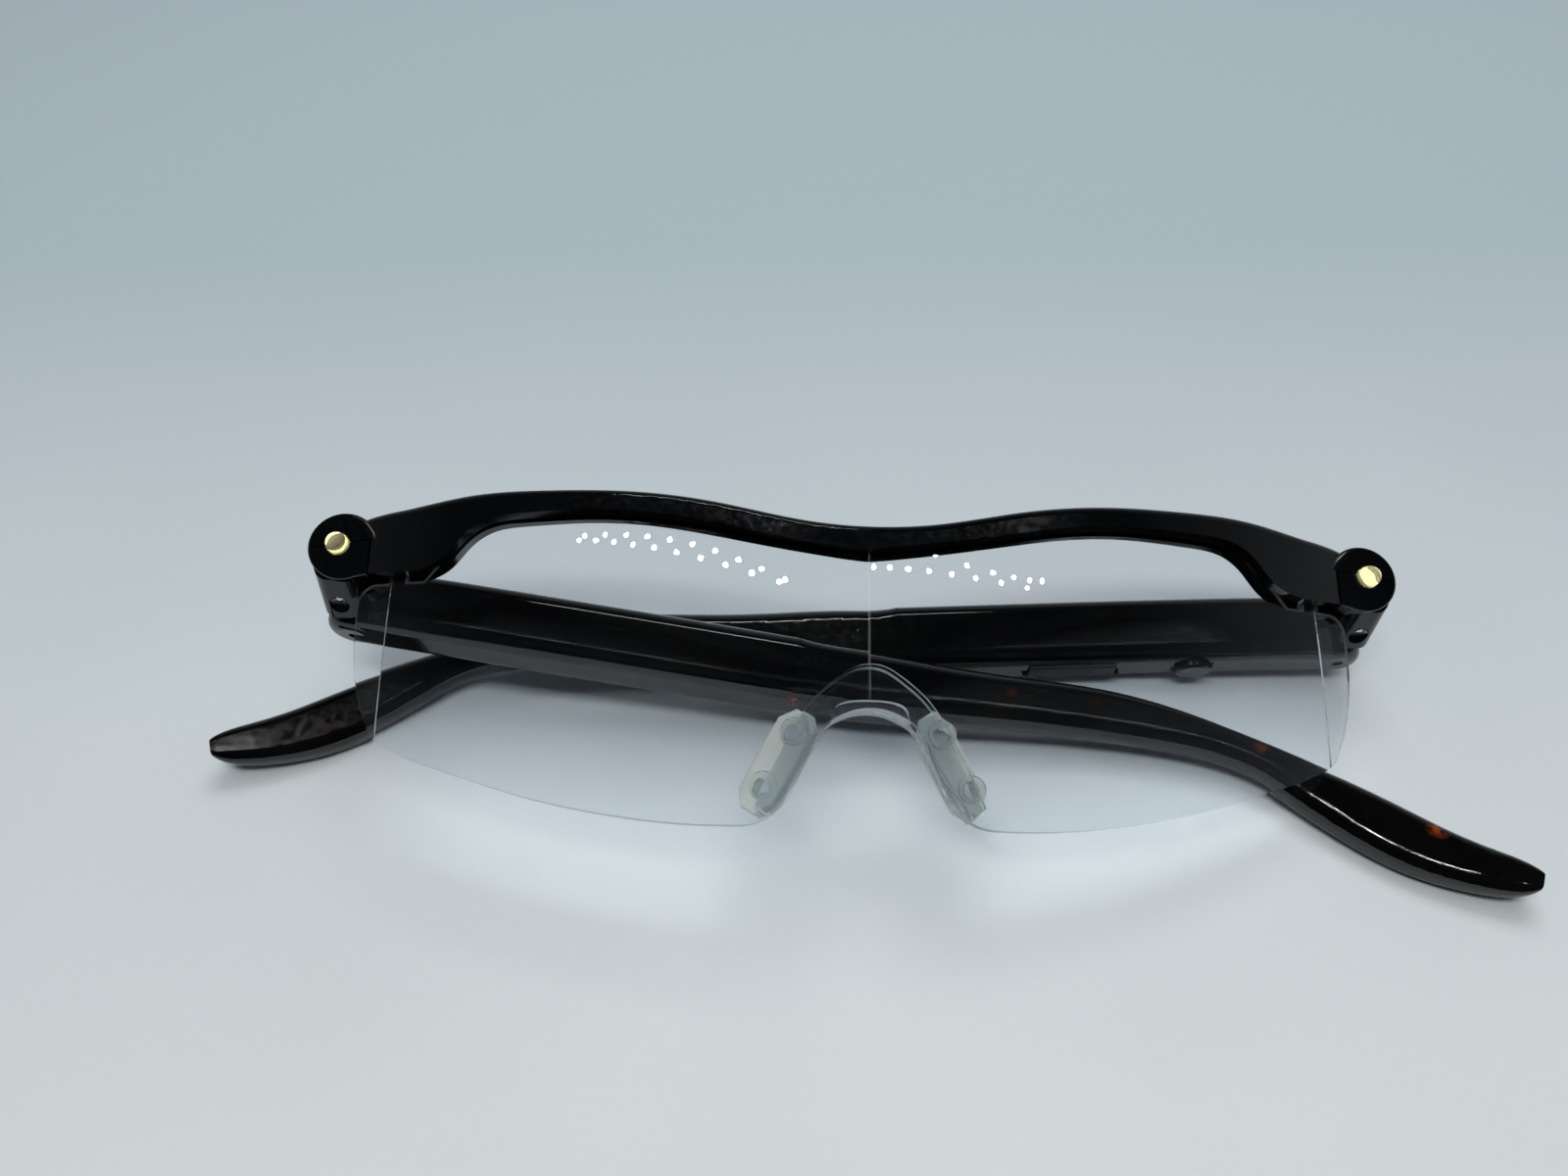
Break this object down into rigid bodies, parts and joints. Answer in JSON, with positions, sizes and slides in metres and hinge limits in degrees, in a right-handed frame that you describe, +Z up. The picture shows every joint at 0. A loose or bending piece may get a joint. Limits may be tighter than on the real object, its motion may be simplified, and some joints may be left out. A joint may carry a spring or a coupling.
{
  "type": "lighted magnifier glasses",
  "caption": "Head-worn magnifier: wrap-round clear lens in a wavy black browbar, a lamp head at each end, nose pads on a clear bracket, and folding arms.",
  "frame": {"origin": "middle of the part's box, on the floor it lies on", "axes": "+X to the viewer's right along the browbar, +Y away from the viewer who looks at the lens, +Z up from the floor"},
  "size_m": [0.1818, 0.049, 0.0391],
  "materials": {
    "brow_plastic": "polished injection moulding",
    "arm_plastic": "satin injection moulding, faintly smoky",
    "clear_lens": "clear polished acrylic",
    "clear_bracket": "clear moulded polycarbonate",
    "pad_silicone": "milky clear silicone",
    "lamp_clear": "clear epoxy",
    "lamp_phosphor": "yellow phosphor",
    "board_green": "solder mask",
    "chip_black": "moulded package",
    "steel": "plain",
    "cell_foil": "pouch foil",
    "button_plastic": "satin",
    "cover_rubber": "matt"
  },
  "bodies": {
    "front": {"browbar": "brow_plastic", "lens": "clear_lens", "nose_bracket": "clear_bracket", "nose_pad_left": "pad_silicone", "nose_pad_right": "pad_silicone", "head_cover_left": "brow_plastic", "head_cover_right": "brow_plastic", "lamp_dome_left": "lamp_clear", "lamp_dome_right": "lamp_clear", "lamp_chip_left": "lamp_phosphor", "lamp_chip_right": "lamp_phosphor", "lamp_board_left": "board_green", "lamp_board_right": "board_green", "cover_screws": "steel"},
    "left_arm": {"arm_left": "arm_plastic", "arm_cover_left": "arm_plastic", "hinge_pin_left": "steel", "battery_cell": "cell_foil", "battery_tabs": "steel"},
    "right_arm": {"arm_right": "arm_plastic", "arm_cover_right": "arm_plastic", "hinge_pin_right": "steel", "circuit_board": "board_green", "control_chip": "chip_black", "power_switch": "chip_black", "charge_socket": "steel", "port_pin": "steel"},
    "button": {"power_button": "button_plastic"},
    "port": {"port_cover": "cover_rubber"}
  },
  "joints": [
    {"name": "right_fold", "type": "hinge", "parent": "front", "child": "right_arm", "pos_m": [0.07391, 0.01717, 0.00758], "axis": [-0.0052, -0.9449, -0.3273], "range_deg": [0, 84]},
    {"name": "left_fold", "type": "hinge", "parent": "front", "child": "left_arm", "pos_m": [-0.06959, 0.01717, 0.01676], "axis": [0.1578, 0.936, 0.3145], "range_deg": [0, 89.5]},
    {"name": "button_press", "type": "slide", "parent": "right_arm", "child": "button", "axis": [0.0059, 0.9499, 0.3125], "range_m": [0, 0.0006], "stiffness_N_per_m": 800, "springref_m": -0.0004},
    {"name": "port_open", "type": "hinge", "parent": "right_arm", "child": "port", "pos_m": [0.03519, 0.01386, 0.00316], "axis": [0.999, -0.0194, 0.0402], "range_deg": [0, 100]}
  ],
  "couplings": [
    {"joint": "left_fold", "follows": "right_fold", "ratio": 1.0655}
  ]
}
